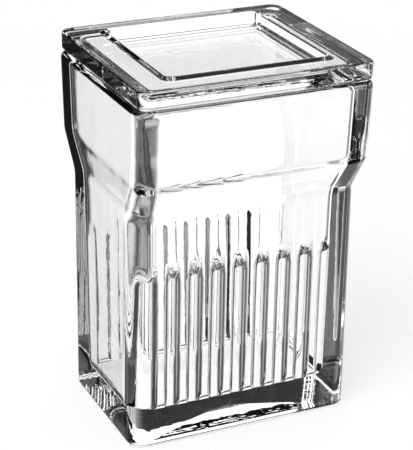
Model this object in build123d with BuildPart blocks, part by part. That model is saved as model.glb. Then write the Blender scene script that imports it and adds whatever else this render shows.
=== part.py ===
from build123d import *
import math
import os

os.makedirs("parts", exist_ok=True)

# Slide staining jar of pressed glass with a loose pressed-glass lid.
# The length runs along X and the width along Y. The origin is the middle of the foot.
# All sizes are in millimetres.

# Outside of the jar. The end walls step in at the shoulder, over a stretch that reaches a little
# past it at the top and bottom, and taper slightly above and below that.
rim_length = 60.8
rim_width = 53.0
collar_end_taper = 0.15
collar_side_taper = 1.0
shoulder_end_step = 0.5
waist_width = 39.8
waist_end_taper = 0.05
foot_width = 40.4
shoulder_bottom = 60.0
shoulder_top = 69.2
jar_height = 88.6
outer_corner = 4.2
foot_round = 1.2
rim_round = 1.2
waist_bend = 5.0
collar_bend = 5.0
end_step_reach = 4.0
end_bend = 60.0

# Glass between the outside and the room inside, first of the end walls, then of the long walls
bottom_thickness = 7.4
foot_end_wall = 4.9
waist_end_wall = 4.5
collar_end_wall = 4.1
foot_wall = 6.3
waist_wall = 4.8
collar_wall = 4.8
room_corner = 2.8
room_floor_round = 2.4
room_end_bend = 30.0
inner_waist_rise = 0.8
inner_collar_rise = 0.1

# Ribs that stand on both long walls and hold the slides apart
slot_count = 8
rib_width = 3.0
rib_height = 2.3
rib_crest_flat = 0.2
rib_root = 1.5
rib_top = 44.0
corner_rib_inset = 1.2

# Lid: a plate that lies on the rim, a plug in the mouth, and a pan with a raised lip in the top
lid_inset = 0.6
lid_corner = 2.6
lid_thickness = 5.7
lid_lower_round = 1.2
lid_upper_round = 0.6
ledge_width_x = 7.9
ledge_width_y = 5.1
lip_height = 0.7
lip_slope = 52.0
lip_corner = 2.6
plug_clearance = 0.6
plug_depth = 2.2
plug_edge_round = 0.8
pan_border_x = 9.7
pan_border_y = 6.6
pan_depth = 3.6
pan_draft = 6.0
pan_corner = 1.6
pan_floor_round = 1.0

# The collar and the end walls follow the rim
collar_width = rim_width - 2 * collar_side_taper
collar_length = rim_length - 2 * collar_end_taper
waist_length = collar_length - 2 * shoulder_end_step
foot_length = waist_length - 2 * waist_end_taper

# The room inside follows the outside, one wall in. Its shoulder starts a little higher.
floor_half_length = foot_length / 2 - foot_end_wall
waist_half_length = waist_length / 2 - waist_end_wall
collar_half_length = collar_length / 2 - collar_end_wall
mouth_half_length = rim_length / 2 - collar_end_wall
floor_half_width = foot_width / 2 - foot_wall
waist_half_width = waist_width / 2 - waist_wall
collar_half_width = collar_width / 2 - collar_wall
mouth_half_width = rim_width / 2 - collar_wall
inner_waist = shoulder_bottom + inner_waist_rise
inner_collar = shoulder_top + inner_collar_rise

# The slots divide the length between the corner ribs, which stand a little in from the end walls
slot_pitch = 2 * (floor_half_length - corner_rib_inset) / slot_count
rib_places = [((i - slot_count / 2) * slot_pitch, 0, 0) for i in range(slot_count + 1)]
wall_flare = waist_half_width - floor_half_width
wall_lean = math.degrees(math.atan(wall_flare / (inner_waist - bottom_thickness)))


def even_sided_face(stations, bends):
    # A flat face through (half size, height) stations, the same on both sides.
    # The bends are the radii of the corners between the first station and the last.
    other_side = [(-half, height) for half, height in reversed(stations)]
    with BuildSketch() as section:
        with BuildLine():
            Polyline(*stations, *other_side, close=True)
        make_face()
        for (_, height), radius in zip(stations[1:-1], bends):
            fillet(section.vertices().filter_by_position(Axis.Y, height, height), radius)
    return section.sketch


def pressed_block(across, along, corner, floor_round):
    # A block with one outline seen along X and another seen along Y, and rounded corners
    reach = (across.bounding_box().size + along.bounding_box().size).X
    with BuildPart() as block:
        with BuildSketch(Plane.YZ):
            add(across)
        extrude(amount=reach, both=True)
        with BuildSketch(Plane.XZ):
            add(along)
        extrude(amount=reach, both=True, mode=Mode.INTERSECT)
        fillet([edge for edge in block.edges() if (edge @ 0).Z != (edge @ 1).Z], corner)
        fillet(block.faces().sort_by(Axis.Z)[0].edges(), floor_round)
    return block.part


outside_across = even_sided_face(
    [
        (foot_width / 2, 0),
        (waist_width / 2, shoulder_bottom),
        (collar_width / 2, shoulder_top),
        (rim_width / 2, jar_height),
    ],
    bends=[waist_bend, collar_bend],
)
outside_along = even_sided_face(
    [
        (foot_length / 2, 0),
        (waist_length / 2, shoulder_bottom - end_step_reach),
        (collar_length / 2, shoulder_top + end_step_reach),
        (rim_length / 2, jar_height),
    ],
    bends=[end_bend, end_bend],
)
outside = pressed_block(outside_across, outside_along, outer_corner, foot_round)

room_across = even_sided_face(
    [
        (floor_half_width, bottom_thickness),
        (waist_half_width, inner_waist),
        (collar_half_width, inner_collar),
        (mouth_half_width, jar_height),
    ],
    bends=[waist_bend, collar_bend],
)
room_along = even_sided_face(
    [
        (floor_half_length, bottom_thickness),
        (waist_half_length, inner_waist - end_step_reach),
        (collar_half_length, inner_collar + end_step_reach),
        (mouth_half_length, jar_height),
    ],
    bends=[room_end_bend, room_end_bend],
)
room = pressed_block(room_across, room_along, room_corner, room_floor_round)

# One rib of the wall towards -Y: a round-topped finger that leans with the wall
wall_face = Plane(
    origin=(0, -floor_half_width, bottom_thickness),
    x_dir=(-1, 0, 0),
    z_dir=Vector(0, 1, 0).rotate(Axis.X, wall_lean),
)
straight_length = rib_top - bottom_thickness - rib_width / 2
with BuildPart() as rib:
    with BuildSketch(wall_face.offset(-rib_root)):
        with Locations((0, (straight_length - rib_root) / 2)):
            Rectangle(rib_width, straight_length + rib_root)
        with Locations((0, straight_length)):
            Circle(rib_width / 2)
    extrude(amount=rib_root + rib_height)
    fillet(rib.faces().sort_by(Axis.Y)[-1].edges(), (rib_width - rib_crest_flat) / 2)

with BuildPart() as jar:
    add(outside)
    add(room, mode=Mode.SUBTRACT)
    fillet(jar.faces().sort_by(Axis.Z)[-1].edges(), rim_round)
    with Locations(rib_places):
        add(rib.part)
        add(mirror(rib.part, about=Plane.XZ, mode=Mode.PRIVATE))

# The lid takes its sizes from the rim and the mouth that hold it
lid_length = rim_length - 2 * lid_inset
lid_width = rim_width - 2 * lid_inset
lid_top = jar_height + lid_thickness
ledge_height = lid_thickness - lip_height
with BuildPart() as lid:
    with BuildSketch(Plane.XY.offset(jar_height)):
        RectangleRounded(lid_length, lid_width, lid_corner)
    extrude(amount=ledge_height)
    fillet(lid.faces().sort_by(Axis.Z)[0].edges(), lid_lower_round)
    fillet(lid.faces().sort_by(Axis.Z)[-1].edges(), lid_upper_round)
    with BuildSketch(Plane.XY.offset(jar_height + ledge_height)):
        RectangleRounded(
            lid_length - 2 * ledge_width_x, lid_width - 2 * ledge_width_y, lip_corner
        )
    extrude(amount=lip_height, taper=lip_slope)
    with BuildSketch(Plane.XY.offset(jar_height)):
        RectangleRounded(
            2 * (mouth_half_length - plug_clearance),
            2 * (mouth_half_width - plug_clearance),
            room_corner - plug_clearance,
        )
    extrude(amount=-plug_depth)
    fillet(lid.faces().sort_by(Axis.Z)[0].edges(), plug_edge_round)
    with BuildSketch(Plane.XY.offset(lid_top)):
        RectangleRounded(lid_length - 2 * pan_border_x, lid_width - 2 * pan_border_y, pan_corner)
    extrude(amount=-pan_depth, taper=pan_draft, mode=Mode.SUBTRACT)
    fillet(lid.faces(Select.LAST).sort_by(Axis.Z)[0].edges(), pan_floor_round)

jar.part.label = "jar"
export_step(jar.part, "parts/jar.step")
lid.part.label = "lid"
export_step(lid.part, "parts/lid.step")
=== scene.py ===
import math

import bpy
from mathutils import Matrix, Vector


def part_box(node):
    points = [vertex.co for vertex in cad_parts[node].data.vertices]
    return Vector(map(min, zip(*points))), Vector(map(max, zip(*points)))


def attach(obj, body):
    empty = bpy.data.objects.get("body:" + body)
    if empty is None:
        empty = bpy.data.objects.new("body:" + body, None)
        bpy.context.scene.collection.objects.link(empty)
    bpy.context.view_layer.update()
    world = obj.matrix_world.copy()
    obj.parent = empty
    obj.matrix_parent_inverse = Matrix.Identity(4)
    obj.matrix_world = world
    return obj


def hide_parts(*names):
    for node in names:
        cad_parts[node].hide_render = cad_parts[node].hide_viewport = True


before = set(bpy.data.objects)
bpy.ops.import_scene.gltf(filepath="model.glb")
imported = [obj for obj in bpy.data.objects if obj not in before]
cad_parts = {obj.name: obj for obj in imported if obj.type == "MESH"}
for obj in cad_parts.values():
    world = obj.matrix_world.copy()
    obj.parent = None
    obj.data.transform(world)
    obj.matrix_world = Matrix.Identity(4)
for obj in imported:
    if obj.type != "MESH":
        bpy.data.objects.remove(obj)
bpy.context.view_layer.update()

# Staining jar for microscope slides, pressed in clear glass, with its loose lid.
# X runs along the ribbed walls, Y across the slides, Z up. Sizes are in metres unless a note says so.

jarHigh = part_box("jar")[1]
lidLow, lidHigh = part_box("lid")
mm = 0.001
scene = bpy.context.scene


def makeNode(tree, kind, feeds=None, **settings):
    # a new node, its inputs fed by sockets or by plain values
    node = tree.nodes.new(kind)
    for key, value in settings.items():
        setattr(node, key, value)
    for key, feed in (feeds or {}).items():
        if isinstance(feed, bpy.types.NodeSocket):
            tree.links.new(feed, node.inputs[key])
        else:
            node.inputs[key].default_value = feed
    return node


def calc(tree, operation, *values):
    return makeNode(tree, "ShaderNodeMath", dict(enumerate(values)), operation=operation).outputs[0]


def ramp(tree, value, low, high, start=0.0, end=1.0):
    feeds = {"Value": value, "From Min": low, "From Max": high, "To Min": start, "To Max": end}
    return makeNode(tree, "ShaderNodeMapRange", feeds, clamp=True).outputs["Result"]


def blend(tree, share, first, second):
    return makeNode(tree, "ShaderNodeMix", {0: share, 2: first, 3: second}, data_type="FLOAT").outputs[0]


# A piece is a loft of rounded rectangles, one ring for each row of its rail. The rail is one corner
# line of the piece, from the middle of its foot over its outside and back down its inside.
# A row holds a ring's half length, half width, height and corner radius.

rowSpacing = {
    "shortest": 0.02 * mm,  # a straight stretch this short gets no rows
    "longEnough": 1.5 * mm,  # a longer one gets a row close beside each of its ends
    "beside": 0.35 * mm,
    "lastGap": 0.3,  # the least length of the last gap, as a share of a full one
}


def sideMove(move):
    # a move along the rail, seen from the side: how far out (the larger of X and Y) and how far up
    return Vector((move[0] if abs(move[0]) > abs(move[1]) else move[1], move[2]))


def roundBend(before, bend, after, radius, steps):
    # rows of the arc that rounds one bend of the rail
    back = (before - bend) / sideMove(before - bend).length
    ahead = (after - bend) / sideMove(after - bend).length
    sideBack, sideAhead = sideMove(back), sideMove(ahead)
    halfAngle = sideBack.angle(sideAhead) / 2
    centre = (sideBack + sideAhead).normalized() * (radius / math.sin(halfAngle))
    reach = radius / math.tan(halfAngle)
    firstSpoke, lastSpoke = sideBack * reach - centre, sideAhead * reach - centre
    area = sideBack.cross(sideAhead)
    rows = []
    for i in range(steps + 1):
        spot = centre + firstSpoke.slerp(lastSpoke, i / steps) * radius
        rows.append(bend + back * (spot.cross(sideAhead) / area) + ahead * (sideBack.cross(spot) / area))
    return rows


def straightRows(start, end, gapAt):
    # rows of a straight stretch, without its start
    length = sideMove(end - start).length
    if length <= rowSpacing["shortest"]:
        return []
    beside = rowSpacing["beside"] if length > rowSpacing["longEnough"] else 0
    rows = [start.lerp(end, beside / length)] if beside else []
    travelled = beside
    while True:
        gap = gapAt(start.lerp(end, travelled / length))
        travelled += gap
        if travelled >= length - beside - rowSpacing["lastGap"] * gap:
            break
        rows.append(start.lerp(end, travelled / length))
    if beside:
        rows.append(start.lerp(end, 1 - beside / length))
    return rows + [end]


def layRail(corners, gapAt):
    # corners, in millimetres: half length, half width, height, corner radius, bend radius, steps of the bend
    spots = [Vector([size * mm for size in corner[:4]]) for corner in corners]
    rows = [spots[0]]
    for i in range(1, len(corners)):
        radius, steps = corners[i][4:]
        bend = roundBend(*spots[i - 1:i + 2], radius * mm, steps) if radius else [spots[i]]
        rows += straightRows(rows[-1], bend[0], gapAt) + bend[1:]
    return rows


# The ribs rise from the long inner walls, one at each pitch from the middle, as round fingers that
# lean with the wall and end in a slope below their top.

pressInputs = {
    "Int": ("Long Side Steps", "Short Side Steps", "Corner Steps"),
    "Float": (
        "Rib Pitch", "Rib Width", "Rib Height", "Rib Top", "Rib End Length", "Rib Flatness",
        "Rib Side Slope", "Rib Root Softness", "Inside Corner Stretch", "Wall Foot Height",
        "Wall Foot Half Width", "Wall Lean", "Wave Height", "Wave Length", "Wave Stretch", "Wave Seed",
    ),
}
press = {
    "crowding": 0.6,  # how far the columns gather at the ribs' sides, 1 being all the way
    "crowdingFade": 8.0,  # power by which that fades towards the corners
    "crowdingFrom": (0.5, 1.5),  # and it starts this many pitches from the middle of the floor
    "crestEdge": 0.96,  # share of the rib's half width where the crest turns into its side
    "weld": 5e-8,  # closes the seam and the poles
}


def buildPressTree():
    tree = bpy.data.node_groups.new("pressedGlass", "GeometryNodeTree")
    face = tree.interface
    face.new_socket("Rail", in_out="INPUT", socket_type="NodeSocketGeometry")
    for kind, names in pressInputs.items():
        for name in names:
            face.new_socket(name, in_out="INPUT", socket_type="NodeSocket" + kind)
    face.new_socket("Glass", in_out="INPUT", socket_type="NodeSocketMaterial")
    face.new_socket("Piece", in_out="OUTPUT", socket_type="NodeSocketGeometry")
    given = makeNode(tree, "NodeGroupInput").outputs

    def add(*values):
        return calc(tree, "ADD", *values)

    def subtract(*values):
        return calc(tree, "SUBTRACT", *values)

    def multiply(*values):
        return calc(tree, "MULTIPLY", *values)

    def divide(*values):
        return calc(tree, "DIVIDE", *values)

    # a flat grid: one column for each step round a ring, one row for each point of the rail
    longSteps, shortSteps, cornerSteps = (given[name] for name in pressInputs["Int"])
    marks = [0.0]
    for steps in (longSteps, cornerSteps, shortSteps, cornerSteps) * 2:
        marks.append(add(marks[-1], steps))
    rowCount = makeNode(tree, "GeometryNodeAttributeDomainSize", {0: given["Rail"]}).outputs["Point Count"]
    grid = makeNode(tree, "GeometryNodeMeshGrid", {
        "Size X": 1.0, "Size Y": 1.0, "Vertices X": add(marks[-1], 1.0), "Vertices Y": rowCount})
    spot = makeNode(tree, "GeometryNodeInputPosition").outputs[0]
    flat = makeNode(tree, "ShaderNodeSeparateXYZ", {0: spot}).outputs
    column = multiply(add(flat["X"], 0.5), marks[-1])
    row = multiply(add(flat["Y"], 0.5), subtract(rowCount, 1.0))
    row = makeNode(tree, "FunctionNodeFloatToInt", {0: row}, rounding_mode="ROUND").outputs[0]

    def fromRail(value, kind):
        sample = makeNode(tree, "GeometryNodeSampleIndex", {
            "Geometry": given["Rail"], "Value": value, "Index": row}, data_type=kind, domain="POINT")
        return sample.outputs[0]

    def named(name):
        return makeNode(tree, "GeometryNodeInputNamedAttribute", {"Name": name}, data_type="FLOAT").outputs[0]

    onRail = makeNode(tree, "GeometryNodeInputPosition").outputs[0]
    rail = makeNode(tree, "ShaderNodeSeparateXYZ", {0: fromRail(onRail, "FLOAT_VECTOR")}).outputs
    radius, inside, wavy = (fromRail(named(name), "FLOAT") for name in ("cornerRadius", "inside", "wavy"))
    height = rail["Z"]
    deepRadius = multiply(radius, blend(tree, inside, 1.0, given["Inside Corner Stretch"]))

    # front side, corner, right side, corner, back side, corner, left side, corner
    done = [ramp(tree, column, marks[i], marks[i + 1]) for i in range(8)]
    acrossX = calc(tree, "MULTIPLY_ADD", subtract(done[0], done[4]), 2.0, -1.0)
    acrossY = calc(tree, "MULTIPLY_ADD", subtract(done[2], done[6]), 2.0, -1.0)
    corners = add(add(done[1], done[3]), add(done[5], done[7]))
    turn = calc(tree, "MULTIPLY_ADD", corners, math.pi / 2, -math.pi / 2)

    # columns crowd together at the ribs' sides, where the wall turns most
    straightX = multiply(acrossX, subtract(rail["X"], radius))
    crowd = calc(tree, "SINE", divide(multiply(straightX, 4 * math.pi), given["Rib Pitch"]))
    crowdShare = subtract(1.0, calc(tree, "POWER", calc(tree, "ABSOLUTE", acrossX), press["crowdingFade"]))
    fromPole = ramp(tree, divide(rail["X"], given["Rib Pitch"]), *press["crowdingFrom"])
    crowd = multiply(multiply(crowd, multiply(multiply(crowdShare, fromPole), inside)),
                     multiply(given["Rib Pitch"], press["crowding"] / (4 * math.pi)))
    sideX = add(add(straightX, crowd), multiply(calc(tree, "COSINE", turn), radius))
    sideY = add(multiply(acrossY, subtract(rail["Y"], deepRadius)),
                multiply(calc(tree, "SINE", turn), deepRadius))

    # how far a point is from the nearest rib's middle line, and how high that rib stands there
    fingerRadius = multiply(given["Rib Width"], 0.5)
    sidestep = calc(tree, "PINGPONG", sideX, multiply(given["Rib Pitch"], 0.5))
    overTop = add(subtract(height, given["Rib Top"]), given["Rib End Length"])
    overTop = calc(tree, "MAXIMUM", overTop, 0.0)
    overTop = multiply(divide(overTop, given["Rib End Length"]), fingerRadius)
    away = calc(tree, "SQRT", add(multiply(sidestep, sidestep), multiply(overTop, overTop)))
    edge = multiply(fingerRadius, press["crestEdge"])
    within = divide(calc(tree, "MINIMUM", away, edge), fingerRadius)
    crest = calc(tree, "POWER", subtract(1.0, calc(tree, "POWER", within, given["Rib Flatness"])),
                 divide(1.0, given["Rib Flatness"]))
    crest = multiply(crest, fingerRadius)
    drop = multiply(calc(tree, "MAXIMUM", subtract(away, edge), 0.0), given["Rib Side Slope"])
    rise = subtract(add(subtract(given["Rib Height"], fingerRadius), crest), drop)
    wall = add(given["Wall Foot Half Width"],
               multiply(subtract(height, given["Wall Foot Height"]), given["Wall Lean"]))
    wide = calc(tree, "ABSOLUTE", sideY)
    ribbed = calc(tree, "SMOOTH_MIN", wide, subtract(wall, rise), given["Rib Root Softness"])
    sideY = multiply(blend(tree, inside, wide, ribbed), calc(tree, "SIGN", sideY))

    stored = makeNode(tree, "GeometryNodeStoreNamedAttribute", {
        "Geometry": grid.outputs["Mesh"], "Name": "wavy", "Value": wavy}, data_type="FLOAT", domain="POINT")
    place = makeNode(tree, "ShaderNodeCombineXYZ", {"X": sideX, "Y": sideY, "Z": height}).outputs[0]
    body = makeNode(tree, "GeometryNodeSetPosition", {
        "Geometry": stored.outputs[0], "Position": place}).outputs[0]
    body = makeNode(tree, "GeometryNodeMergeByDistance", {
        "Geometry": body, "Distance": press["weld"]}).outputs[0]

    # the slow waves that a pressed wall is left with
    spot = makeNode(tree, "GeometryNodeInputPosition").outputs[0]
    longWay = makeNode(tree, "ShaderNodeCombineXYZ", {
        "X": 1.0, "Y": 1.0, "Z": given["Wave Stretch"]}).outputs[0]
    stretched = makeNode(tree, "ShaderNodeVectorMath", {0: spot, 1: longWay}, operation="DIVIDE").outputs[0]
    noise = makeNode(tree, "ShaderNodeTexNoise", {
        "Vector": stretched, "W": given["Wave Seed"], "Scale": divide(1.0, given["Wave Length"]),
        "Detail": 1.0}, noise_dimensions="4D").outputs[0]
    swell = multiply(multiply(subtract(noise, 0.5), 2.0), given["Wave Height"])
    normal = makeNode(tree, "GeometryNodeInputNormal").outputs[0]
    offset = makeNode(tree, "ShaderNodeVectorMath", {
        0: normal, "Scale": multiply(swell, named("wavy"))}, operation="SCALE").outputs[0]
    body = makeNode(tree, "GeometryNodeSetPosition", {"Geometry": body, "Offset": offset}).outputs[0]
    body = makeNode(tree, "GeometryNodeSetShadeSmooth", {"Geometry": body}).outputs[0]
    body = makeNode(tree, "GeometryNodeRealizeInstances", {0: body}).outputs[0]
    body = makeNode(tree, "GeometryNodeSetMaterial", {
        "Geometry": body, "Material": given["Glass"]}).outputs[0]
    makeNode(tree, "NodeGroupOutput", {0: body})
    return tree


def pressPiece(name, rows, sizes, wavyAt, insideFrom, tree, glass):
    # rows before insideFrom are the outside, without ribs
    rail = bpy.data.meshes.new(name)
    rail.from_pydata([row[:3] for row in rows], [(i, i + 1) for i in range(len(rows) - 1)], [])
    for key, values in (("cornerRadius", [row[3] for row in rows]),
                        ("inside", [float(i >= insideFrom) for i in range(len(rows))]),
                        ("wavy", [wavyAt(row, i) for i, row in enumerate(rows)])):
        rail.attributes.new(key, "FLOAT", "POINT").data.foreach_set("value", values)
    piece = bpy.data.objects.new(name, rail)
    scene.collection.objects.link(piece)
    modifier = piece.modifiers.new("press", "NODES")
    modifier.node_group = tree
    for item in tree.interface.items_tree:
        if item.in_out == "INPUT" and item.name in sizes:
            modifier[item.identifier] = sizes[item.name]
        elif item.in_out == "INPUT" and item.name == "Glass":
            modifier[item.identifier] = glass
    bpy.context.view_layer.update()
    shaped = piece.evaluated_get(bpy.context.evaluated_depsgraph_get())
    mesh = bpy.data.meshes.new_from_object(shaped)
    piece.modifiers.clear()
    piece.data = mesh
    bpy.data.meshes.remove(rail)
    mesh.name = name
    triangles = sum(len(face.vertices) - 2 for face in mesh.polygons)
    print(name, "has", len(rows), "rings and", triangles, "triangles")
    return piece


def clearGlass(name, look):
    glass = bpy.data.materials.new(name)
    glass.use_nodes = True
    tree = glass.node_tree
    shader = tree.nodes["Principled BSDF"]
    shader.inputs["Base Color"].default_value = look["tint"]
    shader.inputs["Transmission Weight"].default_value = 1.0
    shader.inputs["IOR"].default_value = look["bending"]
    place = makeNode(tree, "ShaderNodeTexCoord").outputs["Object"]
    # faint streaks that run up the wall, and a finer ripple over them
    stretched = makeNode(tree, "ShaderNodeMapping", {
        "Vector": place, "Scale": (1.0, 1.0, look["streakStretch"])}).outputs[0]
    streaks = makeNode(tree, "ShaderNodeTexNoise", {
        "Vector": stretched, "Scale": 1 / look["streakWidth"], "Detail": 2.0}).outputs["Fac"]
    ripple = makeNode(tree, "ShaderNodeTexNoise", {
        "Vector": place, "Scale": 1 / look["rippleWidth"], "Detail": 1.0}).outputs["Fac"]
    relief = makeNode(tree, "ShaderNodeBump", {
        "Height": streaks, "Strength": look["streakStrength"], "Distance": look["reliefDepth"]}).outputs[0]
    relief = makeNode(tree, "ShaderNodeBump", {
        "Height": ripple, "Strength": look["rippleStrength"], "Distance": look["reliefDepth"],
        "Normal": relief}).outputs[0]
    tree.links.new(relief, shader.inputs["Normal"])
    roughness = ramp(tree, streaks, *look["streakRange"], *look["roughness"])
    tree.links.new(roughness, shader.inputs["Roughness"])
    murk = makeNode(tree, "ShaderNodeVolumeAbsorption", {
        "Color": look["thickTint"], "Density": look["density"]})
    tree.links.new(murk.outputs[0], tree.nodes["Material Output"].inputs["Volume"])
    return glass


glassLook = {
    "tint": (0.985, 0.99, 0.987, 1.0),
    "bending": 1.52,  # index of refraction
    "streakWidth": 5 * mm,
    "streakStretch": 0.2,
    "streakStrength": 0.12,
    "streakRange": (0.3, 0.7),  # streak values that get the least and the most roughness
    "roughness": (0.0, 0.012),
    "rippleWidth": 2.2 * mm,
    "rippleStrength": 0.05,
    "reliefDepth": 0.15 * mm,
    "thickTint": (0.86, 0.9, 0.88, 1.0),
    "density": 0.8,
}
jarGlass = clearGlass("jarGlass", glassLook)
lidGlass = clearGlass("lidGlass", {**glassLook, "streakStretch": 1.0, "streakWidth": 6 * mm})
pressTree = buildPressTree()
print("materials and the press are ready")


# The jar and then the lid, sizes in millimetres. "Half" is half a length along X, half a width along Y.
jar = {
    "footHalf": (29.7, 20.2), "footRound": 1.2, "outerCorner": 4.2,
    "shoulderBottom": 60.0, "waistHalf": (29.75, 19.9), "waistBend": 5.0,
    "shoulderTop": 69.2, "collarHalf": (30.25, 25.5), "collarBend": 4.0,
    "rimHalf": (30.4, 26.5), "rimRound": 1.2, "mouthHalf": (26.3, 21.7),
    "floorHeight": 7.4, "floorHalf": (24.8, 13.9), "floorRound": 2.4,
    "innerWaist": 60.8, "innerWaistHalf": (25.25, 15.1),
    "innerCollar": 69.3, "innerCollarHalf": (26.15, 20.7),
    "bodyCorner": 2.8, "collarCorner": 2.5, "mouthCorner": 2.5,
    "cornerStretch": 1.2,  # inner corners are this much longer along Y than along X
    "hollow": 0.6, "hollowEdge": 3.4, "hollowSteps": 12, "hollowCorner": 1.5,  # under the foot
    "ribCount": 8, "cornerRibInset": 1.2, "ribWidth": 3.0, "ribHeight": 2.3, "ribTop": 44.0,
    "ribEndLength": 2.8, "ribFlatness": 3.0, "ribSideSlope": 4.0, "ribRootSoftness": 0.6,
    "longSteps": 160, "shortSteps": 30, "cornerSteps": 18,  # columns of a side and of a corner
    "rowGap": 2.4, "hollowRowGap": 4.0,
    "ribEndRowGap": 0.2, "ribEndBelow": 3.2, "ribEndAbove": 0.3,  # closer rows round the ribs' tops
    "waveHeight": 0.05, "waveLength": 9, "waveStretch": 2.5, "waveSeed": 3.0,  # stretched along Z
    "hollowWave": 0.25, "floorWave": 0.4, "outerWave": 0.4,  # shares of that height
    "calmEdge": 2.0, "calmFade": 4.0,  # no waves this near the rim and foot, and full ones this much further
    "closeTo": 0.05,  # a row this little above a level is taken as on it
}


def hollowRing(share):
    # a ring of the shallow dome under the foot, at a share of the way from its middle to its edge
    half = [(size - jar["hollowEdge"]) * share for size in jar["footHalf"]]
    return (*half, jar["hollow"] * (1 - share * share) ** 2, jar["hollowCorner"] * share, 0, 0)


def jarRail():
    # each corner: half length, half width, height, corner radius, bend radius, steps of the bend
    rimHeight = jarHigh.z / mm
    footX, footY = jar["footHalf"]
    mouthX, mouthY = jar["mouthHalf"]
    floorX, floorY = jar["floorHalf"]
    foot, rim, base = jar["footRound"], jar["rimRound"], jar["floorRound"]
    corner, mouth, body = jar["outerCorner"], jar["mouthCorner"], jar["bodyCorner"]
    corners = [
        *(hollowRing(i / jar["hollowSteps"]) for i in range(jar["hollowSteps"] + 1)),
        (footX - foot, footY - foot, 0, corner - foot, 0, 0),
        (footX, footY, 0, corner, foot, 8),
        (*jar["waistHalf"], jar["shoulderBottom"], corner, jar["waistBend"], 10),
        (*jar["collarHalf"], jar["shoulderTop"], corner, jar["collarBend"], 10),
        (*jar["rimHalf"], rimHeight, corner, rim, 8),
        (mouthX + rim, mouthY + rim, rimHeight, mouth + rim, 0, 0),
        (mouthX, mouthY, rimHeight, mouth, rim, 8),
        (*jar["innerCollarHalf"], jar["innerCollar"], jar["collarCorner"], jar["collarBend"], 10),
        (*jar["innerWaistHalf"], jar["innerWaist"], body, jar["waistBend"], 10),
        (floorX, floorY, jar["floorHeight"], body, base, 12),
        (floorX - base, floorY - base, jar["floorHeight"], body - base, 0, 0),
        (0, 0, jar["floorHeight"], 0, 0, 0),
    ]

    def gapAt(spot):
        halfLength, height = spot[0] / mm, spot[2] / mm
        onRoomWall = halfLength < jar["innerCollarHalf"][0]
        if height < jar["hollow"] + jar["closeTo"]:
            return jar["hollowRowGap"] * mm
        if onRoomWall and jar["ribTop"] - jar["ribEndBelow"] < height < jar["ribTop"] + jar["ribEndAbove"]:
            return jar["ribEndRowGap"] * mm
        return jar["rowGap"] * mm

    return layRail(corners, gapAt)


jarRows = jarRail()
rimRow = max(range(len(jarRows)), key=lambda i: (jarRows[i][2], i))  # the last of the highest rows
floorLevel = (jar["floorHeight"] + jar["closeTo"]) * mm
floorRow = next(i for i in range(rimRow, len(jarRows)) if jarRows[i][2] < floorLevel)
jarSizes = {
    "Long Side Steps": jar["longSteps"],
    "Short Side Steps": jar["shortSteps"],
    "Corner Steps": jar["cornerSteps"],
    "Rib Pitch": 2 * (jar["floorHalf"][0] - jar["cornerRibInset"]) * mm / jar["ribCount"],
    "Rib Width": jar["ribWidth"] * mm,
    "Rib Height": jar["ribHeight"] * mm,
    "Rib Top": jar["ribTop"] * mm,
    "Rib End Length": jar["ribEndLength"] * mm,
    "Rib Flatness": jar["ribFlatness"],
    "Rib Side Slope": jar["ribSideSlope"],
    "Rib Root Softness": jar["ribRootSoftness"] * mm,
    "Inside Corner Stretch": jar["cornerStretch"],
    "Wall Foot Height": jar["floorHeight"] * mm,
    "Wall Foot Half Width": jar["floorHalf"][1] * mm,
    "Wall Lean": (jar["innerWaistHalf"][1] - jar["floorHalf"][1]) / (jar["innerWaist"] - jar["floorHeight"]),
    "Wave Height": jar["waveHeight"] * mm,
    "Wave Length": jar["waveLength"] * mm,
    "Wave Stretch": jar["waveStretch"],
    "Wave Seed": jar["waveSeed"],
}


def jarWaves(row, i):
    # the share of the wave height that a row gets
    halfLength, height = row[0] / mm, row[2] / mm
    if height < jar["hollow"] + jar["closeTo"] and halfLength < jar["footHalf"][0] - jar["hollowEdge"]:
        return jar["hollowWave"] * height / jar["hollow"]
    if i > floorRow:
        return jar["floorWave"]
    below = min(max((jarHigh.z / mm - jar["calmEdge"] - height) / jar["calmFade"], 0), 1)
    above = min(max((height - jar["calmEdge"]) / jar["calmFade"], 0), 1)
    return below * above * (1.0 if i > rimRow else jar["outerWave"])


jarPiece = pressPiece("stainingJar", jarRows, jarSizes, jarWaves, rimRow + 1, pressTree, jarGlass)


lid = {
    "lowerRound": 1.2, "upperRound": 0.6, "corner": 2.6,
    "rise": 0.1,  # stands this much clear of the rim, so that no two faces coincide
    "plugGap": 0.6, "plugRound": 0.8, "plugFillet": 0.3,
    "panHalf": (20.1, 19.3), "panFloorHalf": (19.7, 18.9), "panDepth": 3.6, "panRound": 1.0,
    "panCorner": 1.6, "panFloorCorner": 1.4, "panLip": 0.6,
    "ledge": (7.9, 5.1), "lipHeight": 0.7, "lipRun": 0.9,
    "lipFootCorner": 2.6, "lipTopCorner": 1.8, "lipFootRound": 0.6, "lipTopRound": 0.4,
    "longSteps": 60, "shortSteps": 52, "rowGap": 1.5,
    "waveHeight": 0.03, "waveStretch": 1.0,
}


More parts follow.
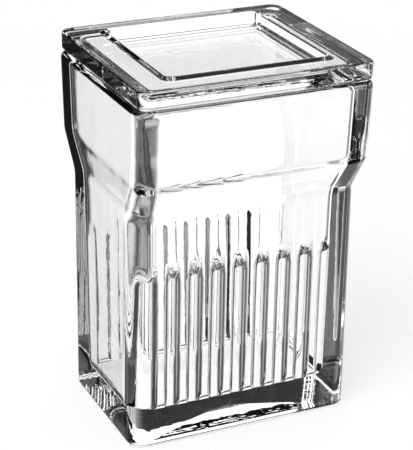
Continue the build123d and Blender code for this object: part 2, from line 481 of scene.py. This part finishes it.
def lidRail():
    # each corner is written as in jarRail
    plateX, plateY = (half / mm for half in lidHigh[:2])
    top, plugFoot = lidHigh.z / mm, lidLow.z / mm + lid["rise"]
    under, ledgeTop = jarHigh.z / mm + lid["rise"], top - lid["lipHeight"]
    plugX, plugY = (half - lid["plugGap"] for half in jar["mouthHalf"])
    plugCorner, plugRound = jar["mouthCorner"] - lid["plugGap"], lid["plugRound"]
    corner, low = lid["corner"], lid["lowerRound"]
    lipX, lipY = plateX - lid["ledge"][0], plateY - lid["ledge"][1]
    panFloor, panFloorCorner, panRound = top - lid["panDepth"], lid["panFloorCorner"], lid["panRound"]
    panX, panY = lid["panFloorHalf"]
    corners = [
        (0, 0, plugFoot, 0, 0, 0),
        (plugX - plugRound, plugY - plugRound, plugFoot, plugCorner - plugRound, 0, 0),
        (plugX, plugY, plugFoot, plugCorner, plugRound, 6),
        (plugX, plugY, under, plugCorner, lid["plugFillet"], 3),
        (plateX - low, plateY - low, under, corner - low, 0, 0),
        (plateX, plateY, under, corner, low, 8),
        (plateX, plateY, ledgeTop, corner, lid["upperRound"], 10),
        (lipX, lipY, ledgeTop, lid["lipFootCorner"], lid["lipFootRound"], 4),
        (lipX - lid["lipRun"], lipY - lid["lipRun"], top, lid["lipTopCorner"], lid["lipTopRound"], 6),
        (*lid["panHalf"], top, lid["panCorner"], lid["panLip"], 6),
        (panX, panY, panFloor, panFloorCorner, panRound, 8),
        (panX - panRound, panY - panRound, panFloor, panFloorCorner - panRound, 0, 0),
        (0, 0, panFloor, 0, 0, 0),
    ]
    return layRail(corners, lambda spot: lid["rowGap"] * mm)


# what the lid doesn't set is as in the jar; all its rows count as outside, so it gets no ribs
lidSizes = {
    **jarSizes,
    "Long Side Steps": lid["longSteps"],
    "Short Side Steps": lid["shortSteps"],
    "Wave Height": lid["waveHeight"] * mm,
    "Wave Stretch": lid["waveStretch"],
}
lidRows = lidRail()
lidPiece = pressPiece("jarLid", lidRows, lidSizes, lambda row, i: 1.0, len(lidRows), pressTree, lidGlass)

for piece, node, slot in ((jarPiece, "jar", "jar_glass"), (lidPiece, "lid", "lid_glass")):
    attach(piece, "root")
    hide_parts(node)
print("both pieces stand in the frame")


# A pale floor, soft lamps, and white panels in a dim room that only the glass sees
studio = {
    "floorSize": 3.0,
    "floorSides": 96,
    "floorColour": 0.9,
    "floorRoughness": 0.9,
    "floorGlow": 0.6,  # share of plain white under the jar
    "fadeAt": (0.1, 0.35),  # distance from the jar over which that share rises to all
    "ambient": 0.55,
    # what the glass sees of the room: elevation in degrees, brightness
    "roomAt": [(-90, 0.8), (-72, 0.5), (-55, 0.1), (-10, 0.04), (12, 0.03), (34, 0.03), (60, 0.5), (90, 0.8)],
    # and the pale panels in it: heading, elevation, half width and half height in degrees, brightness
    "panels": [
        (46, -32, 34, 46, 1.28),
        (92, -28, 18, 30, 0.4),
        (25, 48, 40, 9, 1.0),
        (130, -27, 18, 10, 0.5),
        (156, 24, 16, 12, 0.14),
        (156, -28, 10, 12, 0.08),
        (-57, -28, 10, 12, 0.12),
        (-45, -25, 10, 12, 0.7),
        (135, -15, 12, 10, 1.0),
        (-90, -3, 14, 10, 1.0),
        (0, -3, 14, 10, 1.0),
    ],
    "panelEdge": 7,  # degrees over which a panel's edge fades
    # soft lamps: name, azimuth from the front (0) to the right (90), elevation, distance, width, power
    "lamps": [
        ("key", -60, 50, 0.9, 0.7, 6.5),
        ("fill", 70, 40, 0.9, 0.6, 1.5),
        ("back", 160, 55, 1.0, 0.7, 1.0),
    ],
}

scene.view_settings.view_transform = "Standard"


def heading(azimuth, elevation):
    # a direction, from degrees: 0 is along Y and 90 along X
    turn, lift = math.radians(azimuth), math.radians(elevation)
    return Vector((math.sin(turn) * math.cos(lift), math.cos(turn) * math.cos(lift), math.sin(lift)))


def rayKinds(tree):
    # 1 for camera rays, and 1 for rays that glass reflects or lets through
    path = makeNode(tree, "ShaderNodeLightPath").outputs
    return path["Is Camera Ray"], calc(tree, "MAXIMUM", path["Is Glossy Ray"], path["Is Transmission Ray"])


def dot(tree, direction, axis):
    product = makeNode(tree, "ShaderNodeVectorMath", {0: direction, 1: axis}, operation="DOT_PRODUCT")
    return product.outputs["Value"]


def panelGlow(tree, direction, azimuth, elevation, halfWidth, halfHeight, brightness):
    ahead = heading(azimuth, elevation)
    right = heading(azimuth + 90, 0)
    along = dot(tree, direction, ahead)
    edge = studio["panelEdge"]
    glow = brightness
    for axis, half in ((right, halfWidth), (right.cross(ahead), halfHeight)):
        angle = calc(tree, "ARCTAN2", calc(tree, "ABSOLUTE", dot(tree, direction, axis)), along)
        share = ramp(tree, angle, math.radians(half - edge), math.radians(half + edge), 1.0, 0.0)
        glow = calc(tree, "MULTIPLY", share, glow)
    return glow


def lightRoom():
    world = bpy.data.worlds.new("studio")
    scene.world = world
    world.use_nodes = True
    tree = world.node_tree
    direction = makeNode(tree, "ShaderNodeTexCoord").outputs["Generated"]
    upward = makeNode(tree, "ShaderNodeSeparateXYZ", {0: direction}).outputs["Z"]
    room = makeNode(tree, "ShaderNodeValToRGB", {0: calc(tree, "MULTIPLY_ADD", upward, 0.5, 0.5)})
    stops = room.color_ramp.elements
    while len(stops) < len(studio["roomAt"]):
        stops.new(0.5)
    for stop, (elevation, bright) in zip(stops, studio["roomAt"]):
        stop.position = 0.5 + 0.5 * math.sin(math.radians(elevation))
        stop.color = (bright, bright, bright, 1)
    bright = room.outputs[0]
    for panel in studio["panels"]:
        bright = calc(tree, "MAXIMUM", bright, panelGlow(tree, direction, *panel))
    # the glass sees the room, every other surface an even light, and the camera plain white
    camera, glassy = rayKinds(tree)
    seen = blend(tree, camera, blend(tree, glassy, studio["ambient"], bright), 1.0)
    tree.links.new(seen, tree.nodes["Background"].inputs["Strength"])
    tree.nodes["Background"].inputs["Color"].default_value = (1, 1, 1, 1)


def paleFloor():
    # fades into the white backdrop away from the jar, and keeps the jar's shadow close to it
    material = bpy.data.materials.new("paleFloor")
    material.use_nodes = True
    tree = material.node_tree
    shader = tree.nodes["Principled BSDF"]
    shader.inputs["Base Color"].default_value = (*[studio["floorColour"]] * 3, 1)
    shader.inputs["Roughness"].default_value = studio["floorRoughness"]
    shader.inputs["Specular IOR Level"].default_value = 0.0
    shine = makeNode(tree, "ShaderNodeEmission", {"Color": (1, 1, 1, 1), "Strength": 1.0})
    spot = makeNode(tree, "ShaderNodeTexCoord").outputs["Object"]
    away = makeNode(tree, "ShaderNodeVectorMath", {0: spot}, operation="LENGTH").outputs["Value"]
    glow = ramp(tree, away, *studio["fadeAt"], studio["floorGlow"], 1.0)
    share = calc(tree, "MULTIPLY", calc(tree, "MAXIMUM", *rayKinds(tree)), glow)
    mixed = makeNode(tree, "ShaderNodeMixShader", {0: share, 1: shader.outputs[0], 2: shine.outputs[0]})
    tree.links.new(mixed.outputs[0], tree.nodes["Material Output"].inputs["Surface"])
    return material


lightRoom()
bpy.ops.mesh.primitive_circle_add(
    vertices=studio["floorSides"], radius=studio["floorSize"], fill_type="NGON")
floor = bpy.context.object
floor.name = "floor"
floor.data.materials.append(paleFloor())
floor.visible_transmission = False  # the glass looks past the floor to the panels, as on a clear table
floor.visible_glossy = False

for name, azimuth, elevation, distance, width, power in studio["lamps"]:
    lamp = bpy.data.lights.new(name, "AREA")
    lamp.size = width
    lamp.energy = power
    holder = bpy.data.objects.new(name, lamp)
    scene.collection.objects.link(holder)
    holder.location = heading(180 - azimuth, elevation) * distance
    holder.rotation_euler = (-holder.location).to_track_quat("-Z", "Y").to_euler()
print("the studio is lit")

# azimuth and elevation are where the camera stands, in degrees as for the lamps
view = {
    "azimuth": -25.134, "elevation": 23.747, "roll": 0.913, "distance": 425.61 * mm, "aim": (0, 0, 46 * mm),
    "lens": 136.937, "filmWidth": 36, "shift": (-0.0110, 0.0068), "nearest": 0.01,
}
back = heading(180 - view["azimuth"], view["elevation"])
lens = bpy.data.cameras.new("camera")
lens.lens = view["lens"]
lens.sensor_width = view["filmWidth"]
lens.shift_x, lens.shift_y = view["shift"]
lens.clip_start = view["nearest"]
camera = bpy.data.objects.new("camera", lens)
scene.collection.objects.link(camera)
camera.rotation_mode = "QUATERNION"
camera.location = Vector(view["aim"]) + back * view["distance"]
roll = Matrix.Rotation(math.radians(view["roll"]), 4, "Z").to_quaternion()
camera.rotation_quaternion = (-back).to_track_quat("-Z", "Y") @ roll
scene.camera = camera
print("the camera is set")
